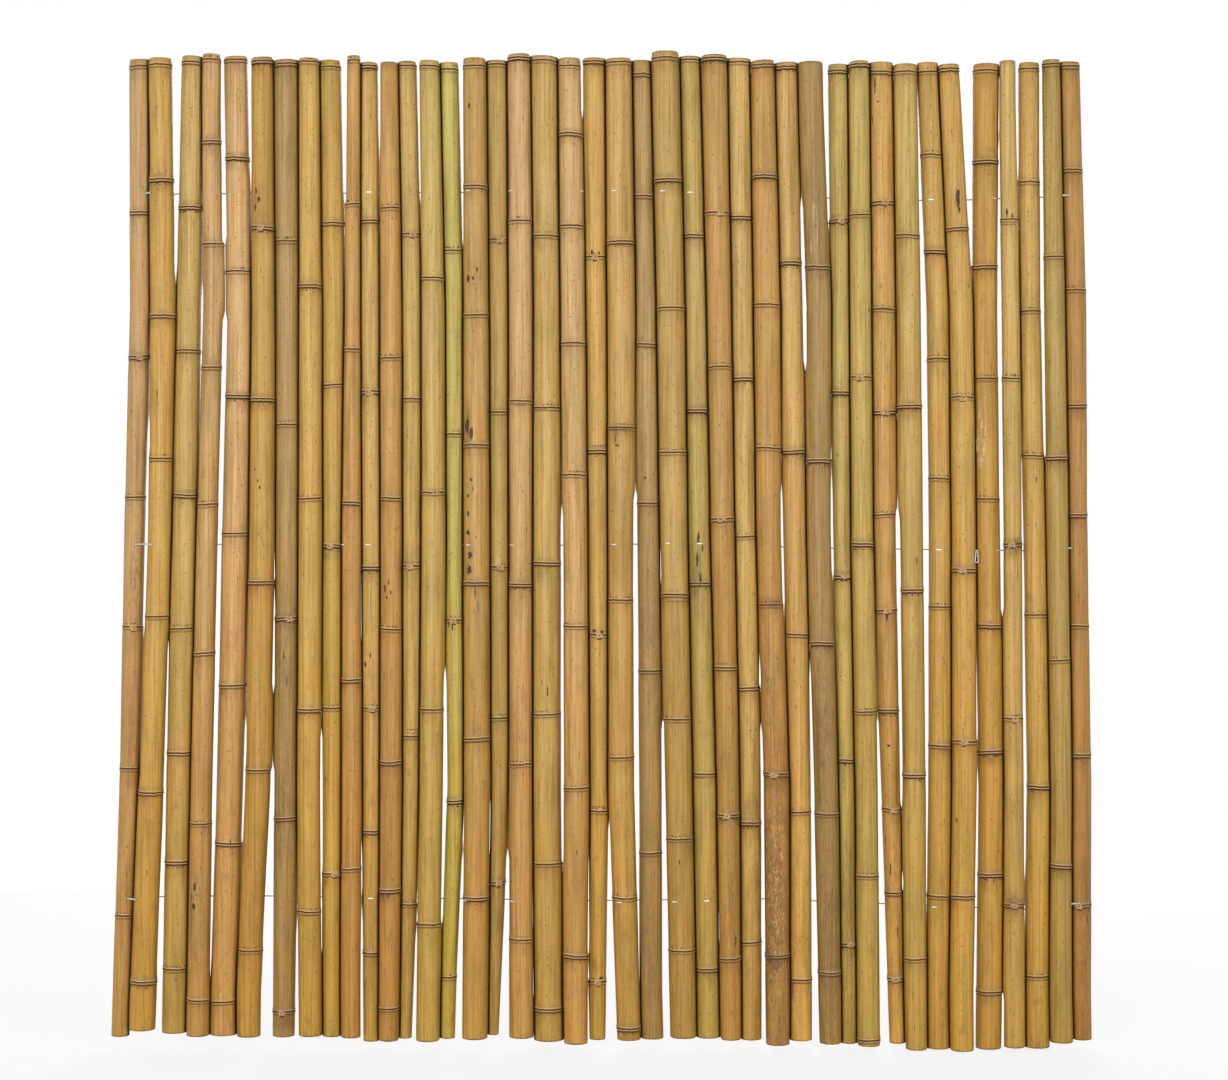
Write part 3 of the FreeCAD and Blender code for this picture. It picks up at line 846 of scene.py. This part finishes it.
SCRAPES = (
    (978, 414, 2.2, 8), (980, 426, 3, 12), (977, 440, 1.8, 16), (982, 448, 2, 14), (979, 463, 2.2, 8),
    (984, 432, 1.2, 8), (812, 215, 0.7, 12), (816, 236, 0.7, 16), (810, 250, 0.7, 9), (498, 561, 5, 5),
)
print("marks:", len(BUDS), "culms with buds,", len(SCARS), "scars,", len(SCRAPES), "scrapes")

# %% Patches on the skin
PATCH_SPOKES = 14
PATCH_RINGS = (0.55, 1.0)
INNER_LIFT = 0.8
PATCH_SINK = 0.0001
FRONT_SHARE = 0.96


def skin_front(culm, x, z, lift):
    """Point on the front of a culm's skin, a little above it."""
    centre_x, centre_y = culm.axis(z)
    offsets, reliefs = np.array(JOINT_RELIEF).T
    nearest = np.abs(culm.joints - z).argmin()
    relief = np.interp(z - culm.joints[nearest], offsets, reliefs)
    radius = culm.radius(z) + relief * relief_shares(culm)[nearest]
    across = np.clip(x - centre_x, -FRONT_SHARE * radius, FRONT_SHARE * radius)
    return centre_x + across, centre_y - math.sqrt(radius ** 2 - across ** 2) - lift, z


def culm_at(x, z):
    """The culm whose axis passes nearest to a place on the front."""
    return min(culms, key=lambda culm: abs(culm.axis(z)[0] - x))


def add_patch(points, faces, place, half_size, lift, chance):
    """Adds a rounded patch with an uneven outline, highest in its middle."""
    culm = culm_at(*place)
    base = len(points)
    points.append(skin_front(culm, *place, lift))
    for ring in PATCH_RINGS:
        for spoke in range(PATCH_SPOKES):
            angle = spoke * 2 * math.pi / PATCH_SPOKES
            reach = ring * chance.uniform(0.6, 1.25)
            x = place[0] + half_size[0] * reach * math.cos(angle)
            z = place[1] + half_size[1] * reach * math.sin(angle)
            height = lift * INNER_LIFT if ring < 1 else -PATCH_SINK
            points.append(skin_front(culm, x, z, height))
    for spoke in range(PATCH_SPOKES):
        inner = base + 1 + spoke
        after = base + 1 + (spoke + 1) % PATCH_SPOKES
        faces.append((base, inner, after))
        faces.append((inner, inner + PATCH_SPOKES, after + PATCH_SPOKES, after))


def patch_piece(name, patches, material):
    """One piece from a list of patches: place, half size and lift of each."""
    chance = random.Random(name)
    points = []
    faces = []
    for place, half_size, lift in patches:
        add_patch(points, faces, place, half_size, lift, chance)
    mesh = bpy.data.meshes.new(name)
    mesh.from_pydata(points, [], faces)
    mesh.polygons.foreach_set("use_smooth", [True] * len(mesh.polygons))
    mesh.materials.append(material)
    piece = bpy.data.objects.new(name, mesh)
    bpy.context.scene.collection.objects.link(piece)
    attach(piece, "root")
    print(name, len(patches))


def photo_patch(column, row, half_width, half_height, lift):
    return (photo_x(column), photo_z(row)), (half_width * PIXEL, half_height * PIXEL), lift


print("points in a patch:", 1 + len(PATCH_RINGS) * PATCH_SPOKES)

# %% Their finish
def patch_material(name, pale, dark):
    """Rough bark in two tones."""
    material, shader, start = new_material(name)
    place = start.node("TexCoord", {}, {}, output=3)
    bark = place.stretched((500, 500, 220), (0, 0, 0)).noise(3)
    tint = bark.step(0.4, 0.65).blend(pale, dark)
    bump = start.node("Bump", {}, {"Strength": 0.5, "Distance": 0.001, "Height": bark})
    start.tree.links.new(tint.output, shader.inputs["Base Color"])
    start.tree.links.new(bump.output, shader.inputs["Normal"])
    shader.inputs["Roughness"].default_value = 0.75
    return material


bud_bark = patch_material("bud_bark", colour(206, 170, 118), colour(146, 108, 66))
scar_brown = patch_material("scar_brown", colour(92, 62, 38), colour(42, 27, 17))
scrape_pale = patch_material("scrape_pale", colour(208, 180, 134), colour(176, 138, 88))
print("finishes:", bud_bark.name, scar_brown.name, scrape_pale.name)

# %% Place them
BUD_SIZE = (0.0085, 0.0062)
BUD_LIFT = 0.0026
BUD_SPREAD = 0.35
BUD_DROP = 0.002
# Rise above the middle of the bud, half size and lift of the dark line and the dark heart of a bud
BUD_CORES = ((-0.0052, (0.0062, 0.0018), 0.0012), (0.001, (0.0026, 0.0022), 0.0031))
DOT_SPACING = 1.9
DOT_SIZE = (0.65, 0.9)
SCAR_LIFT = 0.0004
SCRAPE_LIFT = 0.0003
bud_patches = []
core_patches = []
for number, rows in BUDS.items():
    culm = culms[number - 1]
    for row in rows:
        joint = culm.joints[np.abs(culm.joints - photo_z(row)).argmin()]
        across = random.Random(number + row).uniform(-BUD_SPREAD, BUD_SPREAD) * culm.radius(joint)
        place = (culm.axis(joint)[0] + across, joint - BUD_DROP)
        bud_patches.append((place, BUD_SIZE, BUD_LIFT))
        for rise, half_size, lift in BUD_CORES:
            core_patches.append(((place[0], place[1] + rise), half_size, lift))
dot_patches = []
for first_column, last_column, row in ROOT_DOTS:
    for column in np.arange(first_column, last_column + 0.1, DOT_SPACING):
        dot_patches.append(photo_patch(column, row, *DOT_SIZE, SCAR_LIFT))
scar_patches = [photo_patch(*scar, SCAR_LIFT) for scar in SCARS] + core_patches + dot_patches
scrape_patches = [photo_patch(*scrape, SCRAPE_LIFT) for scrape in SCRAPES]
patch_piece("joint_buds", bud_patches, bud_bark)
patch_piece("skin_scars", scar_patches, scar_brown)
patch_piece("skin_scrapes", scrape_patches, scrape_pale)

# %% [markdown]
# ## Galvanised wire
# The wires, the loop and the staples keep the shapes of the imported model, which are already right,
# and get a zinc finish: grey metal with a frosty bloom. The long wires have weathered to a dull grey,
# and the staples, hammered in last, are brighter.

# %% Zinc
def zinc_material(name, dull, bright, metal):
    material, shader, start = new_material(name)
    place = start.node("TexCoord", {}, {}, output=3)
    spangle = place.stretched((900, 900, 900), (0, 0, 0)).noise(3)
    bloom = place.stretched((160, 160, 160), (0, 0, 0)).noise(2)
    zinc = spangle.step(0.35, 0.7).blend(dull, bright)
    zinc = (bloom.step(0.55, 0.75) * 0.5).blend(zinc, colour(226, 226, 222))
    gloss = 0.32 + spangle * 0.25
    start.tree.links.new(zinc.output, shader.inputs["Base Color"])
    start.tree.links.new(gloss.output, shader.inputs["Roughness"])
    shader.inputs["Metallic"].default_value = metal
    return material


zinc = zinc_material("galvanised_wire", colour(168, 170, 172), colour(214, 216, 217), 0.7)
dull_zinc = zinc_material("weathered_wire", colour(92, 91, 82), colour(138, 136, 126), 0.3)
bright_zinc = zinc_material("bright_staples", colour(226, 227, 228), colour(244, 244, 242), 0.3)


def zinc_for(name):
    """The finish of a wire piece, by its name."""
    if name.startswith("wire_"):
        return dull_zinc
    return bright_zinc if name == "staples" else zinc


for name, node in frame["nodes"].items():
    if not name.startswith("culm_"):
        node.data.materials.clear()
        node.data.materials.append(zinc_for(name))
print("zinc on", len(frame["nodes"]) - len(culms), "wire pieces")

# %% [markdown]
# ## Twisted ends
# At each side a wire comes out of the end seam and is twisted on itself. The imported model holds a
# plain bar there, so two strands wind round the bar's own axis and taper to a snipped point.

# %% Two strands for each twist
STRAND_RADIUS = 0.001
TWIST_PITCH = 0.0075
STRAND_SIDES = 10
STRAND_STEP = 0.0007
TAPER_LENGTH = 0.004
SNIPPED_SHARE = 0.25
STRAND_SHARE = 0.98
FEWEST_RINGS = 12


def bar_ends(node):
    """The two ends of a straight bar's axis."""
    points = np.array([vertex.co for vertex in node.data.vertices])
    middle = (points.min(axis=0) + points.max(axis=0)) / 2
    direction = np.linalg.svd(points - points.mean(axis=0), full_matrices=False)[2][0]
    direction *= math.copysign(1, direction[0])
    along = (points - middle) @ direction
    return Vector(middle + direction * along.min()), Vector(middle + direction * along.max())


def strand_rings(start, stop, phase):
    """Centres and radii of one strand that winds from start to stop."""
    run = stop - start
    forward = run.normalized()
    up = forward.cross(Vector((0, 1, 0))).normalized()
    out = forward.cross(up)
    count = max(FEWEST_RINGS, int(run.length / STRAND_STEP))
    rings = []
    for step in range(count + 1):
        share = step / count
        angle = phase + share * run.length / TWIST_PITCH * 2 * math.pi
        centre = start + run * share + (up * math.cos(angle) + out * math.sin(angle)) * STRAND_RADIUS
        taper = min(1.0, SNIPPED_SHARE + (1 - share) * run.length / TAPER_LENGTH)
        rings.append((centre, STRAND_RADIUS * STRAND_SHARE * taper))
    return rings


def strand_mesh(rings, points, faces):
    """Adds a tube through the rings to lists of points and faces."""
    base = len(points)
    for index, (centre, radius) in enumerate(rings):
        before = rings[max(index - 1, 0)][0]
        after = rings[min(index + 1, len(rings) - 1)][0]
        forward = (after - before).normalized()
        up = forward.cross(Vector((0, 1, 0))).normalized()
        out = forward.cross(up)
        for side in range(STRAND_SIDES):
            angle = side * 2 * math.pi / STRAND_SIDES
            points.append(centre + (up * math.cos(angle) + out * math.sin(angle)) * radius)
    for ring in range(len(rings) - 1):
        for side in range(STRAND_SIDES):
            low = base + ring * STRAND_SIDES
            after = (side + 1) % STRAND_SIDES
            faces.append((low + side, low + STRAND_SIDES + side, low + STRAND_SIDES + after, low + after))
    faces.append(tuple(range(base, base + STRAND_SIDES)))
    last = base + (len(rings) - 1) * STRAND_SIDES
    faces.append(tuple(range(last, last + STRAND_SIDES))[::-1])


def dress_twist(name):
    start, stop = bar_ends(frame["nodes"][name])
    if name.endswith("left"):
        start, stop = stop, start
    points = []
    faces = []
    for phase in (0, math.pi):
        strand_mesh(strand_rings(start, stop, phase), points, faces)
    mesh = bpy.data.meshes.new(name + "_strands")
    mesh.from_pydata(points, [], faces)
    mesh.polygons.foreach_set("use_smooth", [True] * len(mesh.polygons))
    mesh.materials.append(zinc)
    piece = bpy.data.objects.new(name + "_strands", mesh)
    bpy.context.scene.collection.objects.link(piece)
    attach(piece, "root")
    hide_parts(name)
    return piece


twists = [dress_twist(name) for name in sorted(frame["nodes"]) if name.startswith("end_twist")]
print("twists:", len(twists))

# %% [markdown]
# ## Floor and light
# The panel stands on a pale floor in soft light: a wide lamp in front, a little to the left, a weak
# one on the right, one behind for the back, and an even sky. The background is white only to the
# camera and in reflections, so that it adds no light to the bamboo, and the floor still shows a
# soft shadow.

# %% Floor
FLOOR_WIDTH = 4.8
FLOOR_DEPTH = 4.0
FLOOR_WHITE = 0.8


def shown_white(start):
    """1 for what the camera, a reflection or a see-through surface sees."""
    seen = start.node("LightPath", {}, {})
    glossy = start.node("LightPath", {}, {}, output=3)
    through = start.node("LightPath", {}, {}, output=6)
    return seen.largest(glossy).largest(through)


def floor_material():
    material, shader, start = new_material("pale_floor")
    shader.inputs["Base Color"].default_value = (0.95, 0.95, 0.95, 1)
    shader.inputs["Roughness"].default_value = 0.9
    glow = start.node("Emission", {}, {"Color": (1, 1, 1, 1), "Strength": 1.0})
    mixed = start.node("MixShader", {}, {0: shown_white(start) * FLOOR_WHITE, 1: start, 2: glow})
    output = start.tree.nodes["Material Output"]
    start.tree.links.new(mixed.output, output.inputs["Surface"])
    return material


floor_mesh = bpy.data.meshes.new("floor")
signs = ((-1, -1), (1, -1), (1, 1), (-1, 1))
corners = [(across * FLOOR_WIDTH / 2, along * FLOOR_DEPTH / 2, 0) for across, along in signs]
floor_mesh.from_pydata(corners, [], [(0, 1, 2, 3)])
floor_mesh.materials.append(floor_material())
floor = bpy.data.objects.new("floor", floor_mesh)
bpy.context.scene.collection.objects.link(floor)
print("floor", FLOOR_WIDTH, "m by", FLOOR_DEPTH, "m")

# %% Sky and lamps
SKY_LIGHT = 0.54
PANEL_MIDDLE = (0, 0, 0.9)
# Place, size in metres and power in watts of each lamp
LAMPS = {
    "key": ((-1.1, -4.2, 1.3), 2.2, 89),
    "fill": ((2.4, -3.8, 1.0), 1.8, 22),
    "back": ((0.5, 3.6, 2.2), 2.2, 80),
}
world = bpy.data.worlds.new("sky")
world.use_nodes = True
bpy.context.scene.world = world
sky_tree = world.node_tree
sky = sky_tree.nodes["Background"]
sky.inputs["Color"].default_value = (1, 1, 1, 1)
sky_start = Socket(sky_tree, sky.outputs[0])
strength = SKY_LIGHT + shown_white(sky_start) * (1 - SKY_LIGHT)
sky_tree.links.new(strength.output, sky.inputs["Strength"])
for name, (place, size, power) in LAMPS.items():
    data = bpy.data.lights.new(name, "AREA")
    data.size = size
    data.energy = power
    lamp = bpy.data.objects.new(name, data)
    lamp.location = place
    lamp.rotation_euler = (Vector(PANEL_MIDDLE) - Vector(place)).to_track_quat("-Z", "Y").to_euler()
    bpy.context.scene.collection.objects.link(lamp)
bpy.context.scene.view_settings.view_transform = "Standard"
print("lamps:", len(LAMPS))
